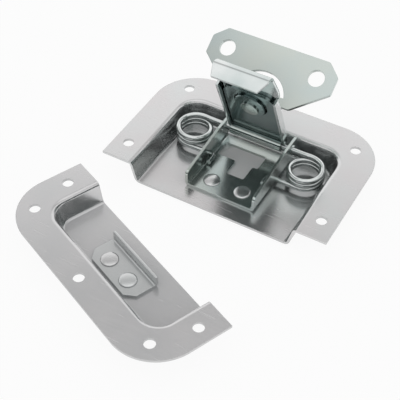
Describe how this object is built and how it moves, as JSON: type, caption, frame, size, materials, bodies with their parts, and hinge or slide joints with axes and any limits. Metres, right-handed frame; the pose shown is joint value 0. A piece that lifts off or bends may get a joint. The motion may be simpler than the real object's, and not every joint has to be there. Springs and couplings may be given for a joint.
{
  "type": "recessed butterfly draw latch",
  "caption": "Two-part recessed draw latch for cases: pressed dish with sprung hook, eccentric and fold-up butterfly handle, and a keeper dish with a strike.",
  "frame": {"origin": "middle of the latch half's parting edge, on the panel face where the undersides of both flanges lie", "axes": "+Y from the parting line back over the latch half, +Z out of the panel, +X to the right when the keeper is in front"},
  "size_m": [0.1262, 0.1577, 0.0629],
  "materials": {
    "zinc_satin": "satin zinc plate",
    "zinc_bright": "bright zinc plate",
    "zinc_wire": "drawn spring wire, bright zinc plate"
  },
  "bodies": {
    "latch_base": {"latch_dish": "zinc_satin", "base_bracket": "zinc_bright", "base_rivet_left": "zinc_satin", "base_rivet_right": "zinc_satin"},
    "spring": {"spring_wire": "zinc_wire"},
    "link": {"draw_link": "zinc_bright"},
    "hook": {"hook_plate": "zinc_bright"},
    "cam": {"cam_disc": "zinc_bright", "spindle": "zinc_bright"},
    "handle": {"handle_plate": "zinc_bright"},
    "keeper": {"keeper_dish": "zinc_satin", "strike_plate": "zinc_satin", "keeper_rivet_left": "zinc_satin", "keeper_rivet_right": "zinc_satin"}
  },
  "joints": [
    {"name": "axle_draw", "type": "slide", "parent": "latch_base", "child": "spring", "axis": [0, -1, 0], "range_m": [0, 0.003], "stiffness_N_per_m": 12000, "deforming": ["spring_wire"]},
    {"name": "hook_swing", "type": "hinge", "parent": "spring", "child": "link", "pos_m": [0, 0.0446, 0.0002], "axis": [1, 0, 0], "range_deg": [-20, 69.5]},
    {"name": "hook_draw", "type": "slide", "parent": "link", "child": "hook", "axis": [0, -0.3502, 0.9367], "range_m": [0, 0.0032]},
    {"name": "cam_turn", "type": "hinge", "parent": "hook", "child": "cam", "pos_m": [0, 0.0356, 0.02427], "axis": [0, 0.9367, 0.3502], "range_deg": [0, 180]},
    {"name": "handle_flip", "type": "hinge", "parent": "cam", "child": "handle", "pos_m": [0, 0.04272, 0.02693], "axis": [1, 0, 0], "range_deg": [-103.5, 76.5]},
    {"name": "keeper_swing", "type": "hinge", "parent": "latch_base", "child": "keeper", "pos_m": [-0.08559, 0.00392, 0], "axis": [0, 0, 1], "range_deg": [0, 23.8]}
  ],
  "couplings": [
    {"joint": "hook_draw", "follows": "cam_turn", "m_per_rad": 0.0010186}
  ]
}
